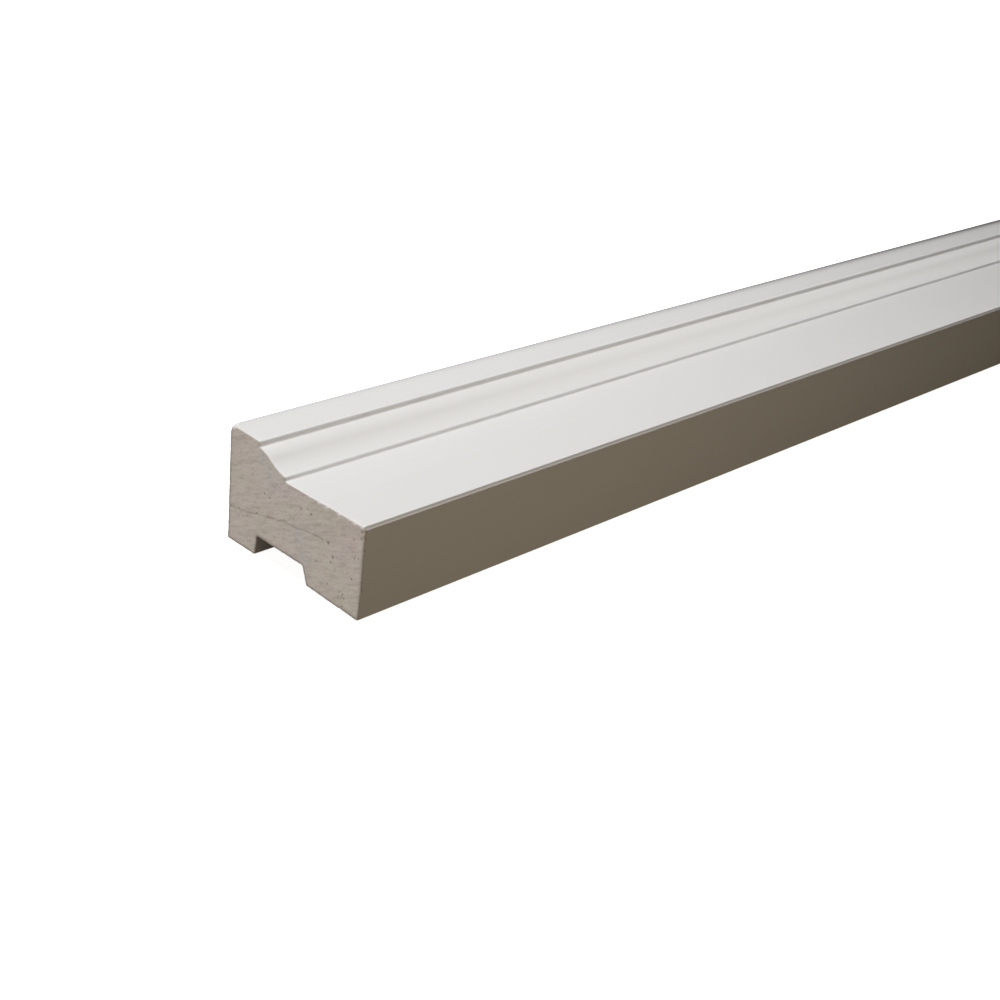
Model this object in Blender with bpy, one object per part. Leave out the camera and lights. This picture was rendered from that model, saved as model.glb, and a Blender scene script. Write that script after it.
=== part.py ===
"""Brick moulding: one square-cut length of a solid white cellular PVC moulding.

It lies on its back. The length runs along X, the thick edge faces +Y, the thin edge faces -Y, and the
origin is the middle of the length and of the width, on the plane that the back rests on.
The section is drawn as (distance from the thick edge, height above the back) and then extruded.
"""

import bpy
from math import atan2, cos, radians, sin, tan
from mathutils import Vector

# Driving dimensions, in metres
LENGTH = 0.4064
WIDTH = 0.0508
THICK_EDGE = 0.03175
THIN_EDGE = 0.0250

# Front, from the thick edge to the thin edge
TOP_FLAT = 0.0115
TOP_SLOPE = radians(2.6)
TOP_STEP = 0.00198
STEP_DRAFT = 0.0002
OGEE_WIDTH = 0.0101
OGEE_ROUND_SHARE = 0.43
OGEE_END_SLOPE = radians(7)
FACE_STEP = 0.00115
FACE_SLOPE = radians(0.65)

# Back: a relief channel between two feet
THICK_FOOT = 0.0110
THIN_FOOT = 0.0194
CHANNEL_DEPTH = 0.0054
THICK_WALL_DRAFT = radians(8.5)
THIN_WALL_DRAFT = radians(21)
THIN_FOOT_BEVEL = radians(2)

# Radii of the arrises and of the channel's inner corners
BACK_ARRIS_RADIUS = 0.0010
NOSE_RADIUS = 0.0005
OGEE_LIP_RADIUS = 0.0005
FACE_ARRIS_RADIUS = 0.0008
FOOT_RADIUS = 0.0003
CHANNEL_CORNER_RADIUS = 0.0009

CORNER_STEPS = 6
OGEE_STEPS = 14

SKIN_COLOUR = (0.83, 0.83, 0.815, 1.0)
SKIN_ROUGHNESS = 0.38


def clear_scene():
    for item in list(bpy.data.objects):
        bpy.data.objects.remove(item, do_unlink=True)


def white_pvc():
    material = bpy.data.materials.new("white_pvc")
    material.use_nodes = True
    shader = material.node_tree.nodes["Principled BSDF"]
    shader.inputs["Base Color"].default_value = SKIN_COLOUR
    shader.inputs["Roughness"].default_value = SKIN_ROUGHNESS
    shader.inputs["Metallic"].default_value = 0.0
    return material


def arc(centre, start, turn, steps):
    """Points from start round the centre, through the angle turn."""
    spoke = start - centre
    first = atan2(spoke.y, spoke.x)
    angles = [first + turn * step / steps for step in range(steps + 1)]
    return [centre + spoke.length * Vector((cos(angle), sin(angle))) for angle in angles]


def rounded_corner(before, corner, after, radius):
    """The arc that blends the corner between its two neighbours."""
    back = (before - corner).normalized()
    ahead = (after - corner).normalized()
    half_angle = back.angle(ahead) / 2
    start = corner + back * radius / tan(half_angle)
    centre = corner + (back + ahead).normalized() * radius / sin(half_angle)
    spoke = start - centre
    turn = 2 * atan2(spoke.cross(corner - centre), spoke.dot(corner - centre))
    return arc(centre, start, turn, CORNER_STEPS)


def face_height(from_thick):
    """The broad face rises a little towards the thin edge, where it reaches THIN_EDGE."""
    return THIN_EDGE - (WIDTH - from_thick) * tan(FACE_SLOPE)


def ogee(start, end):
    """Two arcs, round then hollow, which leave and arrive at OGEE_END_SLOPE."""
    chord = end - start
    steepest = 2 * atan2(-chord.y, chord.x) - OGEE_END_SLOPE
    turn = steepest - OGEE_END_SLOPE
    both_radii = chord.length / (2 * sin(turn / 2))
    round_radius = both_radii * OGEE_ROUND_SHARE
    hollow_radius = both_radii - round_radius
    inflection = start.lerp(end, OGEE_ROUND_SHARE)
    towards_back = Vector((-sin(OGEE_END_SLOPE), -cos(OGEE_END_SLOPE)))
    round_part = arc(start + round_radius * towards_back, start, -turn, OGEE_STEPS)
    across_slope = Vector((sin(steepest), cos(steepest)))
    hollow_part = arc(inflection + hollow_radius * across_slope, inflection, turn, OGEE_STEPS)
    return round_part + hollow_part[1:]


def front_outline():
    """From the thick edge's foot over the front to the thin edge's foot."""
    foot = Vector((0, 0))
    back_arris = Vector((0, THICK_EDGE))
    nose = Vector((TOP_FLAT, THICK_EDGE - TOP_FLAT * tan(TOP_SLOPE)))
    ogee_start = Vector((TOP_FLAT + STEP_DRAFT, THICK_EDGE - TOP_STEP))
    face_start = ogee_start.x + OGEE_WIDTH
    face_foot = Vector((face_start, face_height(face_start)))
    lip = face_foot + Vector((0, FACE_STEP))
    face_arris = Vector((WIDTH, THIN_EDGE))
    thin_foot = Vector((WIDTH, 0))
    moulded = ogee(ogee_start, lip)
    up_the_ogee = lip + OGEE_WIDTH * Vector((-cos(OGEE_END_SLOPE), sin(OGEE_END_SLOPE)))
    lip_corner = rounded_corner(up_the_ogee, lip, face_foot, OGEE_LIP_RADIUS)
    points = rounded_corner(foot, back_arris, nose, BACK_ARRIS_RADIUS)
    points += rounded_corner(back_arris, nose, ogee_start, NOSE_RADIUS)
    points += [point for point in moulded if point.x < lip_corner[0].x]
    points += lip_corner
    points.append(face_foot)
    points += rounded_corner(face_foot, face_arris, thin_foot, FACE_ARRIS_RADIUS)
    return points


def back_outline():
    """From the thin edge's foot across the relief channel to the thick edge's foot."""
    thin_foot = Vector((WIDTH, 0))
    thin_mouth = Vector((WIDTH - THIN_FOOT, THIN_FOOT * tan(THIN_FOOT_BEVEL)))
    thick_mouth = Vector((THICK_FOOT, 0))
    thin_wall_run = (CHANNEL_DEPTH - thin_mouth.y) * tan(THIN_WALL_DRAFT)
    thin_corner = Vector((thin_mouth.x - thin_wall_run, CHANNEL_DEPTH))
    thick_corner = Vector((THICK_FOOT + CHANNEL_DEPTH * tan(THICK_WALL_DRAFT), CHANNEL_DEPTH))
    thick_foot = Vector((0, 0))
    face_arris = Vector((WIDTH, THIN_EDGE))
    back_arris = Vector((0, THICK_EDGE))
    points = rounded_corner(face_arris, thin_foot, thin_mouth, FOOT_RADIUS)
    points += rounded_corner(thin_foot, thin_mouth, thin_corner, FOOT_RADIUS)
    points += rounded_corner(thin_mouth, thin_corner, thick_corner, CHANNEL_CORNER_RADIUS)
    points += rounded_corner(thin_corner, thick_corner, thick_mouth, CHANNEL_CORNER_RADIUS)
    points += rounded_corner(thick_corner, thick_mouth, thick_foot, FOOT_RADIUS)
    points += rounded_corner(thick_mouth, thick_foot, back_arris, FOOT_RADIUS)
    return points


def brick_moulding(collection):
    outline = front_outline() + back_outline()
    curve = bpy.data.curves.new("brick_moulding", "CURVE")
    curve.dimensions = "2D"
    curve.fill_mode = "BOTH"
    curve.extrude = LENGTH / 2
    spline = curve.splines.new("POLY")
    spline.points.add(len(outline) - 1)
    for point, place in zip(spline.points, outline):
        point.co = (WIDTH / 2 - place.x, place.y, 0, 1)
    spline.use_cyclic_u = True
    curve.materials.append(white_pvc())
    moulding = bpy.data.objects.new("brick_moulding", curve)
    # The section's plane stands upright across X: its own x runs to +Y and its own y runs up
    moulding.rotation_euler = (radians(90), 0, radians(90))
    collection.objects.link(moulding)
    return moulding


def main():
    clear_scene()
    collection = bpy.data.collections.new("Brick moulding")
    bpy.context.scene.collection.children.link(collection)
    brick_moulding(collection)


main()
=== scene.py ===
from math import atan2, ceil, cos, exp, radians, sin, sqrt, tan, tau

import bpy
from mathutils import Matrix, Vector, kdtree, noise
from mathutils.geometry import delaunay_2d_cdt


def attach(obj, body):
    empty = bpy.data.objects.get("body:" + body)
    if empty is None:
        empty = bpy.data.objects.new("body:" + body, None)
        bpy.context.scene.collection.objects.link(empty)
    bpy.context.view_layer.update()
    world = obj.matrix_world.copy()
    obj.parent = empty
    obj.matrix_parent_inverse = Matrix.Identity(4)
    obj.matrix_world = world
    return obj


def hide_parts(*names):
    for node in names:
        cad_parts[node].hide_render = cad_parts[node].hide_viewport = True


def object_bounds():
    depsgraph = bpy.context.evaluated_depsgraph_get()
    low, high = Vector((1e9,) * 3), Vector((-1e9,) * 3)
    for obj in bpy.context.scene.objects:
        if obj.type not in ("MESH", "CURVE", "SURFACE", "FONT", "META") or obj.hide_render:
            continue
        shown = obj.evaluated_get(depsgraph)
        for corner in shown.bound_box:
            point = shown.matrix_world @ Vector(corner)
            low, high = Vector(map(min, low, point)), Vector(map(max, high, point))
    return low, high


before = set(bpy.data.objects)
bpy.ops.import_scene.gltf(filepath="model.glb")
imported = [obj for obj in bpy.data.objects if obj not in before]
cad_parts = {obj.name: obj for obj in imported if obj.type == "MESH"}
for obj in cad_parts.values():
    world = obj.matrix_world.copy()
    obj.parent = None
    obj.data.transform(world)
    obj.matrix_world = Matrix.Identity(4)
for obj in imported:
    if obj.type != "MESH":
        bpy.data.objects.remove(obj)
cadLow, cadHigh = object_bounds()
mm = 0.001
noise.seed_set(1)               # without a seed, noise_vector differs from run to run

# The section is drawn in millimetres: across is the distance from the thick edge, up the height
# above the back. It has the solid's sizes, and adds what is too fine for the solid.
section = {
    "thickEdge": 31.745,
    "thinEdge": 25.0,
    "topFlat": 11.5,
    "topSlope": 2.6,
    "topStep": 1.98,
    "stepDraft": 0.2,
    "ogeeWidth": 10.1,
    "ogeeRoundShare": 0.43,
    "ogeeEndSlope": 7.0,
    "faceStep": 1.15,
    "faceSlope": 0.65,
    "thickFoot": 11.0,
    "thinFoot": 19.4,
    "channelDepth": 5.4,
    "thickWallDraft": 8.5,
    "thinWallDraft": 21.0,
    "thinFootBevel": 2.0,
    "backArrisRadius": 1.0,
    "noseRadius": 0.5,
    "ogeeLipRadius": 0.5,
    "footRadius": 0.3,
    "channelRadius": 0.9,
    "quirkRadius": 0.5,         # the two small steps' inner corners
    "rollRadius": 0.22,         # the face rolls over, drops, and ends in a small chamfer
    "rollDrop": 0.5,
    "rollLean": 15.0,
    "chamferWidth": 0.26,
    "chamferDrop": 0.42,
    "chamferTopRadius": 0.1,
    "chamferFootRadius": 0.15,
    "sideCrown": 0.35,          # the thin edge bulges a little and leans in towards the back
    "sideTopCrown": 0.04,
    "sideLean": 0.15,
    "spacing": 0.33,            # the longest gap between two points of the outline
    "shortest": 0.01,           # points closer than this are taken as one
    "cornerSteps": 7,
    "ogeeSteps": 18,
    "sideSteps": 16,
}

# The saw leaves a slightly broken edge round each cut end, and opens the foam
cut = {
    "wear": 0.30,               # how far the broken edge reaches back along the length
    "wearRange": 0.13,
    "wearScale": 1.6,
    "leastWear": 0.08,
    "nearSeed": 3.0,            # what the two ends' noises start from
    "farSeed": 40.0,
    "insets": (0.05, 0.14, 0.27),   # rows of points that follow the edge
    "insetClear": 0.85,         # share of its inset that such a point keeps in a tight corner
    "grain": 0.30,              # gap between the points of the rest of the cut face
    "grainClear": 0.6,          # share of that gap kept free next to the last inset row
    "shake": 0.22,              # share of that gap by which a point leaves its row
    "shakeScale": 7.3,
    "fade": 0.6,                # the sawn surface evens out within this much of the edge
    "relief": (                 # height and scale of the sawn surface's unevenness
        (0.030, 0.75),
        (0.035, 2.2),
        (0.050, 9.0),
    ),
    "sawHeight": 0.012,         # the saw's own ridges, and how far they wander sideways
    "sawGap": 1.1,
    "sawTurn": 12.0,
    "sawWander": 1.5,
    "sawWanderScale": 9.0,
    "chips": (                  # across, up, reach, depth
        (30.9, 24.7, 0.45, 0.25),
        (34.2, 24.8, 0.55, 0.60),
        (37.1, 24.8, 0.45, 0.55),
        (41.6, 24.9, 0.60, 0.70),
        (45.1, 24.9, 0.35, 0.45),
        (47.2, 25.0, 0.90, 0.65),
        (49.6, 24.9, 0.70, 0.50),
        (50.6, 23.6, 0.60, 0.60),
        (50.7, 21.8, 0.50, 0.50),
        (50.7, 18.6, 0.40, 0.40),
        (50.6, 8.2, 0.45, 0.40),
        (50.7, 12.0, 9.00, 0.18),
        (0.6, 31.7, 1.30, 1.60),
        (0.0, 9.0, 0.50, 0.20),
        (44.0, 0.2, 0.60, 0.30),
    ),
    "tints": {                  # across, up, radius
        "blue": ((16.5, 24.0, 3.4), (13.0, 27.0, 2.4), (27.5, 13.0, 3.2), (30.0, 8.0, 2.4)),
        "mauve": ((20.5, 21.5, 2.6), (25.0, 23.0, 2.2), (46.0, 20.0, 4.0), (42.0, 14.0, 3.0)),
    },
    "pits": (                   # across, up, radius, depth
        (28.2, 20.1, 0.42, 0.45),
        (30.4, 20.9, 0.35, 0.30),
        (31.9, 20.1, 0.45, 0.40),
        (38.5, 15.5, 0.62, 0.60),
        (40.4, 12.5, 0.60, 0.60),
        (39.7, 10.9, 0.42, 0.40),
        (34.7, 9.0, 0.38, 0.35),
        (39.0, 4.7, 0.34, 0.30),
        (47.4, 9.9, 0.36, 0.35),
        (47.9, 15.6, 0.36, 0.35),
        (49.3, 16.2, 0.30, 0.30),
        (44.6, 4.4, 0.40, 0.40),
        (45.2, 3.6, 0.34, 0.35),
        (44.7, 1.2, 0.34, 0.30),
        (4.2, 10.0, 0.36, 0.35),
        (0.9, 9.2, 0.34, 0.30),
        (7.7, 9.5, 0.32, 0.30),
        (11.4, 11.7, 0.36, 0.35),
        (15.8, 12.5, 0.32, 0.30),
        (14.1, 18.3, 0.34, 0.30),
        (16.2, 17.9, 0.34, 0.30),
        (47.3, 20.3, 0.34, 0.30),
        (49.9, 23.4, 0.55, 0.45),
        (49.8, 21.6, 0.40, 0.35),
    ),
    "pitDepth": 0.3,            # share of the depth above that the sawn crumbs leave open
    "pitRings": (               # share of a pit's radius, and the points round it
        (0.4, 6),
        (0.75, 10),
        (1.05, 12),
    ),
    "pitClear": 1.25,           # the rows of points keep off this share of a pit's radius
    "pitWall": 0.8,             # share of the radius at which a pit's wall drops
    "farPits": {                # thrown over the far end by a fixed noise
        "count": 18,
        "seed": 4.0,
        "centre": (25.4, 15.0),
        "spread": (50.0, 30.0),
        "clear": 1.2,
        "radius": 0.34,
        "radiusRange": 0.08,
        "depth": 0.35,
    },
    "flowLine": (               # the seam where two streams of the foam met in the die
        (1.2, 9.4), (4.0, 9.9), (7.7, 10.4), (11.4, 11.5), (15.8, 12.6), (19.3, 13.2),
        (21.7, 14.1), (24.0, 14.2), (27.1, 14.4), (29.3, 14.9), (32.3, 15.4), (34.5, 15.5),
        (36.4, 15.6),
    ),
    "flowWidth": 0.24,
    "flowDepth": 0.04,
    "flowStrength": 0.7,        # the seam comes and goes along its length
    "flowRange": 0.6,
    "flowScale": 2.5,
    "highlightWidth": 0.32,           # the broken edge gets a painted highlight where it faces up, painted shade elsewhere
    "highlightShare": 0.8,            # the painted highlight covers at least this share of the broken edge
    "edgeShadeWidth": 0.62,
    "edgeShadeLevel": 1.2,          # painted shade on an edge that faces sideways, and how soon it goes
    "edgeShadeFall": 2.4,           # as the edge turns up
    "thinFacing": 0.8,          # an edge that faces the thin side at least this squarely
    "thinEdgeShade": 0.35,          # keeps only this share of its painted shade
}

# Rings of points along the length, close together at the two cuts
ringPlan = {
    "steps": (0, 0.15, 0.4, 0.9, 1.8, 3.5),
    "wearReach": 8.0,           # the broken edge's waviness would die out this far in
    "margin": 4.0,              # from the last close ring to the first of the even ones
    "evenRings": 32,
}


def arc(centre, start, turn, steps):
    spoke = start - centre
    first = atan2(spoke.y, spoke.x)
    angles = [first + turn * step / steps for step in range(steps + 1)]
    return [centre + spoke.length * Vector((cos(angle), sin(angle))) for angle in angles]


def roundedCorner(before, corner, after, radius):
    back = (before - corner).normalized()
    ahead = (after - corner).normalized()
    halfAngle = back.angle(ahead) / 2
    start = corner + back * radius / tan(halfAngle)
    centre = corner + (back + ahead).normalized() * radius / sin(halfAngle)
    spoke = start - centre
    turn = 2 * atan2(spoke.cross(corner - centre), spoke.dot(corner - centre))
    return arc(centre, start, turn, section["cornerSteps"])


def ogee(start, end):
    # two arcs, round then hollow, that leave and arrive at the same slope
    slope = radians(section["ogeeEndSlope"])
    chord = end - start
    steepest = 2 * atan2(-chord.y, chord.x) - slope
    turn = steepest - slope
    bothRadii = chord.length / (2 * sin(turn / 2))
    roundRadius = bothRadii * section["ogeeRoundShare"]
    hollowRadius = bothRadii - roundRadius
    inflection = start.lerp(end, section["ogeeRoundShare"])
    roundPart = arc(start - roundRadius * Vector((sin(slope), cos(slope))), start, -turn,
                    section["ogeeSteps"])
    hollowPart = arc(inflection + hollowRadius * Vector((sin(steepest), cos(steepest))),
                     inflection, turn, section["ogeeSteps"])
    return roundPart + hollowPart[1:]


def thinSide(width, top):
    # the thin edge, from its top to its foot
    places = []
    for step in range(section["sideSteps"] + 1):
        up = top * (1 - step / section["sideSteps"])
        bulge = section["sideCrown"] if up < section["thinEdge"] / 2 else section["sideTopCrown"]
        crown = bulge * (2 * up / section["thinEdge"] - 1) ** 2
        lean = section["sideLean"] * (1 - up / section["thinEdge"])
        places.append(Vector((width - crown - lean, up)))
    return places


def sectionOutline(width):
    # clockwise, from the thick edge over the front to the thin edge, and back along the back
    s = section
    faceSlope = tan(radians(s["faceSlope"]))
    foot = Vector((0, 0))
    backArris = Vector((0, s["thickEdge"]))
    nose = Vector((s["topFlat"], s["thickEdge"] - s["topFlat"] * tan(radians(s["topSlope"]))))
    ogeeStart = Vector((s["topFlat"] + s["stepDraft"], s["thickEdge"] - s["topStep"]))
    faceStart = ogeeStart.x + s["ogeeWidth"]
    faceFoot = Vector((faceStart, s["thinEdge"] - (width - faceStart) * faceSlope))
    lip = faceFoot + Vector((0, s["faceStep"]))
    curve = ogee(ogeeStart, lip)
    upTheOgee = curve[-2]

    side = thinSide(width, s["thinEdge"] - s["rollDrop"] - s["chamferDrop"])
    chamferTop = side[0] + Vector((-s["chamferWidth"], s["chamferDrop"]))
    rollRun = s["rollDrop"] * tan(radians(s["rollLean"]))
    rollTop = chamferTop + Vector((-rollRun, s["rollDrop"]))
    rollTop.y = s["thinEdge"] - (width - rollTop.x) * faceSlope

    thinFoot = side[-1]
    thinMouth = Vector((width - s["thinFoot"], s["thinFoot"] * tan(radians(s["thinFootBevel"]))))
    thinRun = (s["channelDepth"] - thinMouth.y) * tan(radians(s["thinWallDraft"]))
    thinCorner = Vector((thinMouth.x - thinRun, s["channelDepth"]))
    thickMouth = Vector((s["thickFoot"], 0))
    thickRun = s["channelDepth"] * tan(radians(s["thickWallDraft"]))
    thickCorner = Vector((thickMouth.x + thickRun, s["channelDepth"]))

    lipCorner = roundedCorner(upTheOgee, lip, faceFoot, s["ogeeLipRadius"])
    quirk = roundedCorner(nose, ogeeStart, curve[1], s["quirkRadius"])
    points = roundedCorner(foot, backArris, nose, s["backArrisRadius"])
    points += roundedCorner(backArris, nose, ogeeStart, s["noseRadius"])
    points += quirk
    points += [p for p in curve if quirk[-1].x < p.x < lipCorner[0].x]
    points += lipCorner
    points += roundedCorner(lip, faceFoot, rollTop, s["quirkRadius"])
    points += roundedCorner(faceFoot, rollTop, chamferTop, s["rollRadius"])
    points += roundedCorner(rollTop, chamferTop, side[0], s["chamferTopRadius"])
    points += roundedCorner(chamferTop, side[0], side[1], s["chamferFootRadius"])
    points += side[1:-1]
    points += roundedCorner(side[-2], thinFoot, thinMouth, s["footRadius"])
    points += roundedCorner(thinFoot, thinMouth, thinCorner, s["footRadius"])
    points += roundedCorner(thinMouth, thinCorner, thickCorner, s["channelRadius"])
    points += roundedCorner(thinCorner, thickCorner, thickMouth, s["channelRadius"])
    points += roundedCorner(thickCorner, thickMouth, foot, s["footRadius"])
    points += roundedCorner(thickMouth, foot, backArris, s["footRadius"])
    return evenlyFilled(points, s["spacing"])


def evenlyFilled(points, spacing):
    filled = []
    for here, there in zip(points, points[1:] + points[:1]):
        gap = (there - here).length
        if gap < section["shortest"]:
            continue
        pieces = ceil(gap / spacing)
        filled += [here.lerp(there, piece / pieces) for piece in range(pieces)]
    return filled


def inwardNormals(outline):
    normals = []
    for before, after in zip(outline[-1:] + outline[:-1], outline[1:] + outline[:1]):
        along = (after - before).normalized()
        normals.append(Vector((along.y, -along.x)))
    return normals


def gapToSegment(point, here, there):
    # the distance, and the share of the way along where the nearest spot lies
    step = there - here
    share = min(max((point - here).dot(step) / step.length_squared, 0), 1)
    return (point - here.lerp(there, share)).length, share


class Edge:
    # the outline as something that a point of the cut face can be measured from
    def __init__(self, outline):
        self.outline = outline
        self.tree = kdtree.KDTree(len(outline))
        for number, point in enumerate(outline):
            self.tree.insert((point.x, point.y, 0), number)
        self.tree.balance()

    def nearest(self, point):
        # the distance, the number of the outline's segment, and the share of the way along it
        number = self.tree.find((point.x, point.y, 0))[1]
        count = len(self.outline)
        best = None
        for start in (number - 1, number):
            here, there = self.outline[start % count], self.outline[(start + 1) % count]
            gap, share = gapToSegment(point, here, there)
            if best is None or gap < best[0]:
                best = (gap, start % count, share)
        return best


def brokenEdge(outline, seed, chips):
    # how far back along the length the saw has broken the edge, at each point of the outline
    wear = []
    for point in outline:
        place = Vector((point.x, point.y, seed)) / cut["wearScale"]
        reach = cut["wear"] + cut["wearRange"] * noise.noise(place)
        reach += cut["wearRange"] * noise.noise(place * 3.1)
        for across, up, size, depth in chips:
            away = (point - Vector((across, up))).length
            reach += depth * exp(-(away / size) ** 2)
        wear.append(max(reach, cut["leastWear"]))
    return wear


def distanceToLine(point, line):
    return min(gapToSegment(point, Vector(here), Vector(there))[0]
               for here, there in zip(line, line[1:]))


def sawnDepth(point, seed):
    # how far the sawn surface lies behind the plane of the cut, always at least zero
    depth = 0
    for height, scale in cut["relief"]:
        depth += height * (1 + noise.noise(Vector((point.x, point.y, seed)) / scale)) / 2
    turn = radians(cut["sawTurn"])
    sideways = point.x * cos(turn) + point.y * sin(turn)
    scale = cut["sawWanderScale"]
    wander = noise.noise(Vector((point.x / scale, point.y / scale, seed + 5)))
    ridges = sideways / cut["sawGap"] + cut["sawWander"] * wander
    return depth + cut["sawHeight"] * (1 + sin(tau * ridges))


def edgeRows(outline, edge):
    # rows of points that follow the outline inwards
    rows = []
    for inset in cut["insets"]:
        for place, inward in zip(outline, inwardNormals(outline)):
            point = place + inward * inset
            if edge.nearest(point)[0] > cut["insetClear"] * inset:
                rows.append(point)
    return rows


def pitPoints(outline, edge, pits):
    # each pit's middle, and rings of points down its wall
    points = []
    for across, up, radius, _ in pits:
        centre = Vector((across, up))
        points.append(centre)
        for share, count in cut["pitRings"]:
            for number in range(count):
                angle = tau * (number + share) / count
                point = centre + radius * share * Vector((cos(angle), sin(angle)))
                if edge.nearest(point)[0] > cut["insets"][-1] and inside(point, outline):
                    points.append(point)
    return points


def fieldPoints(outline, edge, pits):
    # staggered rows over the rest of the cut, each point a little off its place
    points = []
    grain, scale = cut["grain"], cut["shakeScale"]
    rowGap = grain * sqrt(3) / 2
    clear = cut["insets"][-1] + cut["grainClear"] * grain
    top = max(point.y for point in outline)
    width = max(point.x for point in outline)
    for row in range(int(top / rowGap) + 1):
        for column in range(int(width / grain) + 1):
            point = Vector(((column + row % 2 / 2) * grain, row * rowGap))
            shake = noise.noise_vector(Vector((point.x * scale, point.y * scale, 1.7)))
            point += cut["shake"] * grain * shake.to_2d()
            if any((point - Vector(pit[:2])).length < cut["pitClear"] * pit[2] for pit in pits):
                continue
            if edge.nearest(point)[0] > clear and inside(point, outline):
                points.append(point)
    return points


def inside(point, outline):
    crossings = 0
    for here, there in zip(outline, outline[1:] + outline[:1]):
        if (here.y > point.y) != (there.y > point.y):
            share = (point.y - here.y) / (there.y - here.y)
            crossings += here.x + share * (there.x - here.x) > point.x
    return crossings % 2 == 1


def flowAt(point, flowLine, seed):
    scale = cut["flowScale"]
    swing = noise.noise(Vector((point.x / scale, point.y / scale, seed + 9)))
    strength = cut["flowStrength"] + cut["flowRange"] * swing
    return strength * exp(-(distanceToLine(point, flowLine) / cut["flowWidth"]) ** 2)


def paintedHighlightAndShade(gap, broken, outward):
    # how much painted highlight and painted shade a point near the edge gets, by the way that the
    # edge faces there
    highlightWidth = max(cut["highlightWidth"], cut["highlightShare"] * broken)
    rim = exp(-(gap / highlightWidth) ** 2) * max(outward.y, 0)
    facing = min(max(cut["edgeShadeLevel"] - cut["edgeShadeFall"] * outward.y, 0), 1)
    grime = exp(-(gap / cut["edgeShadeWidth"]) ** 2) * facing
    if outward.x > cut["thinFacing"]:
        grime *= cut["thinEdgeShade"]
    return rim, grime


def tintAt(point, spots):
    return max(exp(-((point - Vector(spot[:2])).length / spot[2]) ** 2) for spot in spots)


def cutFaceRows(points, outline, edge, wear, seed, pits, flowLine):
    # each point's depth behind the cut plane, and the masks that colour the foam
    rows = []
    count = len(outline)
    inward = inwardNormals(outline)
    for number, point in enumerate(points):
        gap, start, share = edge.nearest(point)
        outward = -inward[start]
        broken = wear[start] + share * (wear[(start + 1) % count] - wear[start])
        if number < count:
            gap, broken = 0, wear[number]
        depth = sawnDepth(point, seed) * min(gap / cut["fade"], 1)
        if gap < broken:
            depth += broken * (1 - sqrt(max(1 - (1 - gap / broken) ** 2, 0)))
        pit = 0
        for across, up, radius, deep in pits:
            away = (point - Vector((across, up))).length / radius
            if away < 2:
                # the pit mask darkens the foam: painted shade in the pit
                hollow = exp(-(away / cut["pitWall"]) ** 4)
                pit = max(pit, hollow)
                depth += cut["pitDepth"] * deep * hollow
        flow = flowAt(point, flowLine, seed) if flowLine else 0
        depth += cut["flowDepth"] * flow
        tints = (tintAt(point, cut["tints"]["blue"]), tintAt(point, cut["tints"]["mauve"]))
        # painted highlight and painted shade at the edge, painted shade in the pits, then the seam
        # and the tints
        rows.append((depth, *paintedHighlightAndShade(gap, broken, outward), pit, flow, *tints))
    return rows


def scatteredPits(outline, edge):
    rule = cut["farPits"]
    pits = []
    number = 0
    while len(pits) < rule["count"]:
        number += 1
        throws = (noise.noise(Vector((number * 3.7, rule["seed"], 0.3))),
                  noise.noise(Vector((number * 5.9, rule["seed"], 7.1))))
        across, up = (middle + spread * throw for middle, spread, throw
                      in zip(rule["centre"], rule["spread"], throws))
        point = Vector((across, up))
        if inside(point, outline) and edge.nearest(point)[0] > rule["clear"]:
            swing = noise.noise(Vector((number, rule["seed"], 2.2)))
            radius = rule["radius"] + rule["radiusRange"] * swing
            pits.append((across, up, radius, rule["depth"]))
    return pits


def paintedSkinShadeAndLight(point, share):
    # painted shade along the thick edge's arris, more of it at the far end, and painted light on
    # the quirks
    if point.y < section["thinEdge"] / 2:
        return 0, 0
    away = (point - Vector((0, section["thickEdge"]))).length
    spread = skin["arrisShadeWidth"] * (1 + skin["arrisShadeSpread"] * share)
    soil = exp(-(away / spread) ** 2) * (skin["arrisShadeNear"] + skin["arrisShadeFar"] * share)
    quirks = (section["topFlat"], section["topFlat"] + section["stepDraft"] + section["ogeeWidth"])
    clean = max(exp(-((point.x - quirk) / skin["quirkWidth"]) ** 2) for quirk in quirks)
    return soil, clean


def lengthRings(count, length, nearWear, farWear):
    # for each ring, how far along the length its points lie
    steps, reach = ringPlan["steps"], ringPlan["wearReach"]
    first = steps[-1] + ringPlan["margin"]
    evenGap = (length - 2 * first) / ringPlan["evenRings"]
    rings = [[wear + step * (1 - wear / reach) for wear in nearWear] for step in steps]
    rings += [[first + evenGap * ring] * count for ring in range(ringPlan["evenRings"] + 1)]
    rings += [[length - wear - step * (1 - wear / reach) for wear in farWear]
              for step in reversed(steps)]
    return rings


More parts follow.
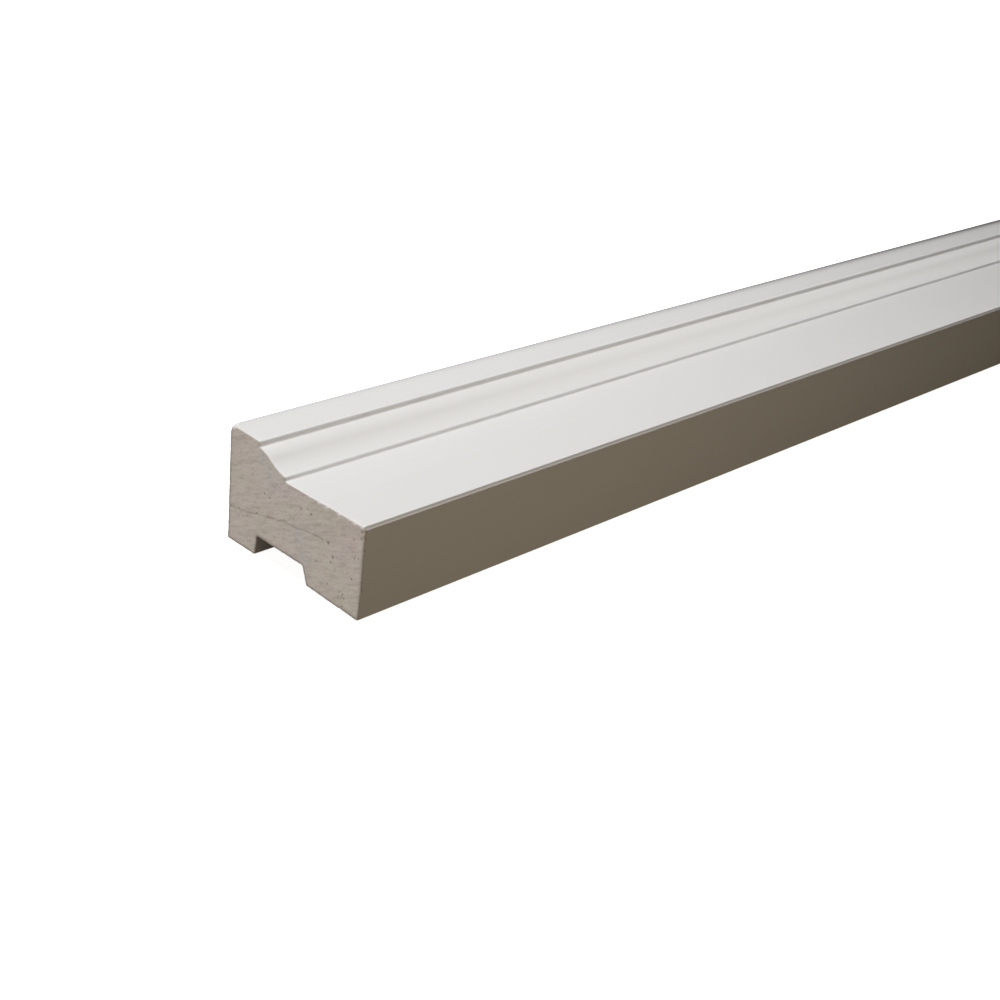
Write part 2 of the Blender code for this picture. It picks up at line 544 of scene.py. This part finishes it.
class Moulding:
    # the points, as (how far along the length, place in the section), with faces and masks
    def __init__(self, width, length):
        self.length = length
        self.outline = sectionOutline(width)
        self.edge = Edge(self.outline)
        self.count = len(self.outline)
        self.points, self.skinFaces, self.foamFaces = [], [], []
        self.foamMasks = {"rim": [], "grime": [], "pit": [], "flow": [], "blue": [], "mauve": []}
        # the skin's masks hold painted shade on the arris and painted light on the quirks
        self.paintedSkinMasks = {"soil": [], "clean": []}

    def addSkin(self, rings):
        for ring in rings:
            for place, far in zip(self.outline, ring):
                self.points.append((far, place))
                for name, value in zip(self.paintedSkinMasks, paintedSkinShadeAndLight(place, far / self.length)):
                    self.paintedSkinMasks[name].append(value)
        for base in range(0, (len(rings) - 1) * self.count, self.count):
            for number in range(self.count):
                after = (number + 1) % self.count
                self.skinFaces.append((base + number, base + after, base + self.count + after,
                                       base + self.count + number))
        for values in self.foamMasks.values():
            values += [0.0] * len(self.points)

    def addCut(self, ringStart, plane, inward, seed, wear, pits, flowLine):
        outline, edge, count = self.outline, self.edge, self.count
        wanted = outline + edgeRows(outline, edge) + pitPoints(outline, edge, pits)
        wanted += fieldPoints(outline, edge, pits)
        # the outline runs clockwise, and only a face that runs the other way bounds the triangles
        bound = list(reversed(range(count)))
        insideOnly, mergeWithin = 1, 1e-6
        places, _, triangles, origins, _, owners = delaunay_2d_cdt(
            wanted, [], [bound], insideOnly, mergeWithin, True)
        rows = cutFaceRows(places, outline, edge, wear, seed, pits, flowLine)
        numbers = []
        for place, origin, (depth, *values) in zip(places, origins, rows):
            if origin and origin[0] < count:
                numbers.append(ringStart + origin[0])
                for mask, value in zip(self.foamMasks.values(), values):
                    mask[numbers[-1]] = value
            else:
                numbers.append(len(self.points))
                self.points.append((plane + inward * depth, place))
                for mask, value in zip(self.foamMasks.values(), values):
                    mask.append(value)
        for triangle, owner in zip(triangles, owners):
            if owner:
                self.foamFaces.append(tuple(numbers[corner] for corner in triangle[::inward]))
        print("cut end at", round(plane, 1), "mm, foam faces so far:", len(self.foamFaces))

    def mesh(self, name):
        mesh = bpy.data.meshes.new(name)
        corner = Vector((cadLow.x, cadHigh.y, cadLow.z))
        mesh.from_pydata(
            [corner + mm * Vector((far, -place.x, place.y)) for far, place in self.points],
            [], self.skinFaces + self.foamFaces)
        slots = [0] * len(self.skinFaces) + [1] * len(self.foamFaces)
        mesh.polygons.foreach_set("material_index", slots)
        mesh.polygons.foreach_set("use_smooth", [True] * len(slots))
        for values in self.paintedSkinMasks.values():
            values += [0.0] * (len(self.points) - len(values))
        for mask, values in (self.foamMasks | self.paintedSkinMasks).items():
            mesh.attributes.new(mask, "FLOAT", "POINT").data.foreach_set("value", values)
        mesh.update()
        return mesh


def mouldingMesh(width, length):
    shape = Moulding(width, length)
    print("section outline:", shape.count, "points")
    nearWear = brokenEdge(shape.outline, cut["nearSeed"], cut["chips"])
    farWear = brokenEdge(shape.outline, cut["farSeed"], ())
    rings = lengthRings(shape.count, length, nearWear, farWear)
    shape.addSkin(rings)
    print("long faces:", len(shape.skinFaces))
    shape.addCut(0, 0, 1, cut["nearSeed"], nearWear, cut["pits"], cut["flowLine"])
    lastRing = (len(rings) - 1) * shape.count
    farPits = scatteredPits(shape.outline, shape.edge)
    shape.addCut(lastRing, length, -1, cut["farSeed"], farWear, farPits, None)
    return shape.mesh("brickMoulding")


class Wire:
    # a node's output that takes part in plain Python sums
    def __init__(self, finish, socket):
        self.finish = finish
        self.socket = socket

    def maths(self, operation, *values):
        return self.finish.node("Math", {"operation": operation}, dict(enumerate(values)))

    def __add__(self, other):
        return self.maths("ADD", self, other)

    def __sub__(self, other):
        return self.maths("SUBTRACT", self, other)

    def __rsub__(self, other):
        return self.maths("SUBTRACT", other, self)

    def __mul__(self, other):
        return self.maths("MULTIPLY", self, other)

    __radd__ = __add__
    __rmul__ = __mul__


class Finish:
    def __init__(self, name):
        self.material = bpy.data.materials.new(name)
        self.material.use_nodes = True
        self.tree = self.material.node_tree
        self.shader = self.tree.nodes["Principled BSDF"]

    def feed(self, socket, value):
        if isinstance(value, Wire):
            self.tree.links.new(value.socket, socket)
        elif isinstance(value, tuple) and socket.type == "RGBA":
            socket.default_value = (*value[:3], 1)
        else:
            socket.default_value = value

    def node(self, kind, settings=None, sockets=None, out=0):
        node = self.tree.nodes.new("ShaderNode" + kind)
        for name, value in (settings or {}).items():
            if name == "stops":
                self.setStops(node.color_ramp, value)
            else:
                setattr(node, name, value)
        for name, value in (sockets or {}).items():
            self.feed(node.inputs[name], value)
        return Wire(self, node.outputs[out])

    def setStops(self, ramp, stops):
        while len(ramp.elements) > 1:
            ramp.elements.remove(ramp.elements[-1])
        for number, (place, shade) in enumerate(stops):
            stop = ramp.elements[0] if number == 0 else ramp.elements.new(place)
            stop.position = place
            stop.color = (shade, shade, shade, 1)

    def noise(self, scale, detail=2, roughness=0.5, stretch=(1, 1, 1), turn=(0, 0, 0)):
        # a texture mapping draws the pattern out along the turned axes
        where = self.node("Mapping", {"vector_type": "TEXTURE"}, {
            "Vector": self.node("TexCoord", out=3), "Rotation": turn, "Scale": stretch})
        return self.node("TexNoise", {}, {
            "Vector": where, "Scale": scale, "Detail": detail, "Roughness": roughness})

    def ramp(self, value, *stops):
        return self.node("ValToRGB", {"stops": stops}, {0: value})

    def mix(self, share, first, second):
        return self.node("Mix", {"data_type": "RGBA"}, {0: share, 6: first, 7: second}, out=2)

    def attribute(self, name):
        return self.node("Attribute", {"attribute_name": name}, out=2)

    def bump(self, height, distance):
        return self.node("Bump", {}, {"Height": height, "Distance": distance})

    def surface(self, **sockets):
        for name, value in sockets.items():
            self.feed(self.shader.inputs[name], value)
        return self.material


skin = {
    "white": (0.83, 0.83, 0.815),
    "shade": (0.79, 0.785, 0.765),
    "shadeShare": 0.35,
    "soil": (0.17, 0.16, 0.155),    # painted shade on the thick edge's arris
    "arrisShadeWidth": 1.6,
    "arrisShadeSpread": 0.7,
    "arrisShadeNear": 0.16,
    "arrisShadeFar": 1.2,
    "clean": (0.915, 0.93, 0.945),  # painted light on the quirks, cool against the warm side light
    "quirkWidth": 0.45,
    "gloss": 0.38,
    "glossRange": 0.08,
    "lines": 900,               # fine lines that the die draws along the length
    "lineStretch": (250, 1, 1),
    "lineBump": 0.000012,
    "broad": 14,
    "broadStretch": (3, 1, 1),
    "clouds": 60,
    "cloudStretch": (2, 1, 1),
    "cloudBump": 0.4,
    "ior": 1.45,
}


def whiteSkin():
    finish = Finish("satinSkin")
    lines = finish.noise(skin["lines"], 2, 0.5, skin["lineStretch"])
    broad = finish.noise(skin["broad"], 2, 0.5, skin["broadStretch"])
    clouds = finish.noise(skin["clouds"], 3, 0.6, skin["cloudStretch"])
    shade = finish.ramp(0.5 * lines + 0.5 * broad, (0.35, 0.0), (0.7, 1.0))
    colour = finish.mix(shade * skin["shadeShare"], skin["white"], skin["shade"])
    # painted shade along the arris and painted light on the quirks
    for paintedTone in ("soil", "clean"):
        colour = finish.mix(finish.attribute(paintedTone), colour, skin[paintedTone])
    gloss = skin["gloss"] + skin["glossRange"] * (clouds - 0.5)
    normal = finish.bump(lines + skin["cloudBump"] * clouds, skin["lineBump"])
    return finish.surface(**{"Base Color": colour, "Roughness": gloss, "Normal": normal,
                             "IOR": skin["ior"]})


foam = {
    "grey": (0.73, 0.685, 0.61),
    "mauve": (0.75, 0.66, 0.645),
    "blueGrey": (0.675, 0.675, 0.66),
    "dust": (0.86, 0.81, 0.76),
    # darker foam for the grain, saw scores and seam, and painted shade in the pits
    "cavity": (0.28, 0.24, 0.20),
    # painted highlight on the cut's edge where it faces up
    "rim": (0.83, 0.80, 0.79),
    # painted shade on the cut's edges that face sideways or down
    "grime": (0.15, 0.135, 0.115),
    "layers": (                 # a pattern or mask, its strength, and the colour that it brings
        ("patches", 0.6, "mauve"),
        ("mauve", 0.9, "mauve"),
        ("blue", 0.9, "blueGrey"),
        ("light", 0.6, "dust"),
        ("dark", 0.24, "cavity"),
        ("scores", 0.14, "cavity"),
        ("flow", 0.55, "cavity"),
        # painted shade in the pits
        ("pit", 0.72, "cavity"),
        # painted highlight on the broken edge where it faces up
        ("rim", 0.9, "rim"),
        # painted shade on the broken edge where it faces sideways or down
        ("grime", 0.8, "grime"),
    ),
    "cells": 1500,
    "clumps": 420,
    "patches": 110,
    "saw": 1250,
    "broadSaw": 430,
    "sawTurn": (-0.42, 0.0, 0.0),   # the saw's streaks rise towards the thin edge
    "sawStretch": (1, 6.0, 1),
    "sawBump": 0.5,
    "bump": 0.00006,
    "roughness": 0.9,
    # smoother where the painted highlight lies
    "highlightSmoother": 0.2,
    "ior": 1.45,
}


def sawnFoam():
    finish = Finish("sawnFoam")
    cells = finish.noise(foam["cells"], 3, 0.7)
    clumps = finish.noise(foam["clumps"], 3, 0.6)
    patches = finish.noise(foam["patches"], 3, 0.55)
    saw = finish.noise(foam["saw"], 3, 0.65, foam["sawStretch"], foam["sawTurn"])
    broadSaw = finish.noise(foam["broadSaw"], 2, 0.6, foam["sawStretch"], foam["sawTurn"])
    grain = 0.6 * saw + 0.4 * cells
    patterns = {
        "patches": finish.ramp(patches, (0.40, 0.0), (0.62, 1.0)),
        "light": finish.ramp(grain, (0.44, 0.0), (0.60, 1.0)),
        "dark": finish.ramp(grain, (0.36, 1.0), (0.47, 0.0)),
        "scores": finish.ramp(0.7 * broadSaw + 0.3 * clumps, (0.36, 1.0), (0.48, 0.0)),
    }
    colour = foam["grey"]
    for name, strength, tint in foam["layers"]:
        share = patterns[name] if name in patterns else finish.attribute(name)
        colour = finish.mix(share * strength, colour, foam[tint])
    roughness = foam["roughness"] - foam["highlightSmoother"] * finish.attribute("rim")
    normal = finish.bump(cells + clumps + foam["sawBump"] * saw, foam["bump"])
    return finish.surface(**{"Base Color": colour, "Roughness": roughness, "Normal": normal,
                             "IOR": foam["ior"]})


size = cadHigh - cadLow
mesh = mouldingMesh(size.y / mm, size.x / mm)
moulding = bpy.data.objects.new("brickMoulding", mesh)
bpy.context.scene.collection.objects.link(moulding)
mesh.materials.append(whiteSkin())
mesh.materials.append(sawnFoam())
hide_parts("brick_moulding")
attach(moulding, "root")
print("moulding:", len(mesh.polygons), "faces")

# Plain studio: pale floor, pale surround, and soft light from above
studio = {
    "floorSize": 8.0,
    "floorColour": (0.9, 0.9, 0.9),
    "floorGlow": 0.9,
    "surroundRadius": 7.0,
    "surroundSegments": 48,
    "surroundGlow": 1.0,
    "mottle": 3,                # a faint unevenness of both, and how much of it shows
    "mottleShare": 0.1,
    "mottleShade": 0.97,
    "airColour": (0.040, 0.034, 0.026),
    "lights": {
        # place, aim, size across and along, power, colour, and what it doesn't reach
        "overhead": ((-0.17, 0.12, 0.65), (-0.17, 0.12, 0.0), (0.4, 0.4), 4.1,
                     (0.983, 0.986, 1.0), ()),
        "endFill": ((-1.6, 0.25, 0.10), (-0.2, 0.0, 0.01), (0.5, 0.5), 12.6,
                    (1.0, 0.951, 0.909), ()),
        "sideFill": ((-0.17, -0.355, 0.085), (-0.17, 0.0, 0.02), (0.3, 0.15), 0.215,
                     (1.0, 0.82, 0.60), ()),
        "backFill": ((1.3, 0.3, 0.08), (0.2, 0.0, 0.015), (0.5, 0.14), 3.5,
                     (1.0, 0.97, 0.93), ("glossy",)),
        "farSheen": ((1.1, -0.1, 0.8), (0.0, 0.0, 0.03), (0.9, 0.7), 2.6,
                     (1.0, 1.0, 1.0), ("diffuse",)),
    },
}


def paleSurface(name, colour, glow):
    finish = Finish(name)
    mottle = finish.noise(studio["mottle"], 1) * studio["mottleShare"]
    tint = finish.mix(mottle, colour, tuple(studio["mottleShade"] * part for part in colour))
    return finish.surface(**{"Base Color": tint, "Roughness": 0.9, "Emission Color": (1, 1, 1),
                             "Emission Strength": glow})


def seenByCameraOnly(item):
    item.visible_diffuse = False
    item.visible_glossy = False
    item.visible_transmission = False


def floorAndSurround():
    half = studio["floorSize"] / 2
    corners = [(-half, -half, 0), (half, -half, 0), (half, half, 0), (-half, half, 0)]
    floorMesh = bpy.data.meshes.new("floor")
    floorMesh.from_pydata(corners, [], [(0, 1, 2, 3)])
    floor = bpy.data.objects.new("floor", floorMesh)
    floorMesh.materials.append(
        paleSurface("paleFloor", studio["floorColour"], studio["floorGlow"]))
    bpy.ops.mesh.primitive_uv_sphere_add(
        radius=studio["surroundRadius"], segments=studio["surroundSegments"],
        ring_count=studio["surroundSegments"] // 2)
    surround = bpy.context.object
    surround.name = "surround"
    surround.data.materials.append(
        paleSurface("paleSurround", (0.0, 0.0, 0.0), studio["surroundGlow"]))
    surround.visible_shadow = False
    bpy.context.scene.collection.objects.link(floor)
    for item in (floor, surround):
        seenByCameraOnly(item)


def softLights():
    for name, (place, aim, extent, power, colour, skips) in studio["lights"].items():
        lamp = bpy.data.lights.new(name, "AREA")
        lamp.shape = "RECTANGLE"
        lamp.size, lamp.size_y = extent
        lamp.energy = power
        lamp.color = colour
        light = bpy.data.objects.new(name, lamp)
        light.location = place
        for skip in skips:
            setattr(light, "visible_" + skip, False)
        light.rotation_euler = (Vector(aim) - Vector(place)).to_track_quat("-Z", "Y").to_euler()
        bpy.context.scene.collection.objects.link(light)


def dimAir():
    world = bpy.data.worlds.new("studioAir")
    world.use_nodes = True
    world.node_tree.nodes["Background"].inputs["Color"].default_value = (*studio["airColour"], 1)
    bpy.context.scene.world = world
    bpy.context.scene.view_settings.view_transform = "Standard"


floorAndSurround()
softLights()
dimAir()
print("studio ready")

# Solved from the photograph's vanishing points and edges
view = {
    "place": (-0.410717, -0.249684, 0.185731),
    "turn": (63.6277, -5.9523, -45.4073),
    "lens": 54.631,
    "sensor": 36,
    "nearest": 0.01,
}


def camera():
    lens = bpy.data.cameras.new("photoView")
    lens.lens = view["lens"]
    lens.sensor_width = view["sensor"]
    lens.clip_start = view["nearest"]
    seen = bpy.data.objects.new("photoView", lens)
    seen.location = view["place"]
    seen.rotation_euler = [radians(angle) for angle in view["turn"]]
    bpy.context.scene.collection.objects.link(seen)
    bpy.context.scene.camera = seen


camera()
